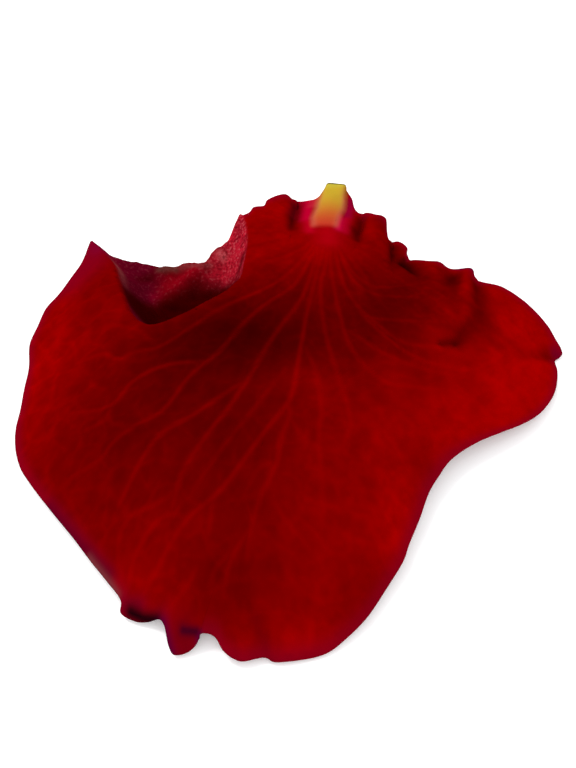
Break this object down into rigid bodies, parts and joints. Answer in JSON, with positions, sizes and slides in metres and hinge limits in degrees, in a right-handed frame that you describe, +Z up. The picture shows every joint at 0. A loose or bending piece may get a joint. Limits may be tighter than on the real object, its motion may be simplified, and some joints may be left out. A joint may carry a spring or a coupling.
{
  "type": "persian buttercup petal",
  "caption": "Cupped flower petal with broad side lobes, a crimped base, a dented shoulder and a narrow pale claw, lying domed side up.",
  "frame": {"origin": "bottom centre of the petal's bounding box, on the surface it lies on", "axes": "+X across the blade, +Y from the blade's tip towards the claw, +Z up from the surface"},
  "size_m": [0.048, 0.0492, 0.0068],
  "materials": {
    "petal_skin": "thin living petal, satin, deep red with fine lighter veins, fading through pink to pale yellow on the claw"
  },
  "bodies": {
    "root": {"petal": "petal_skin"}
  },
  "joints": []
}
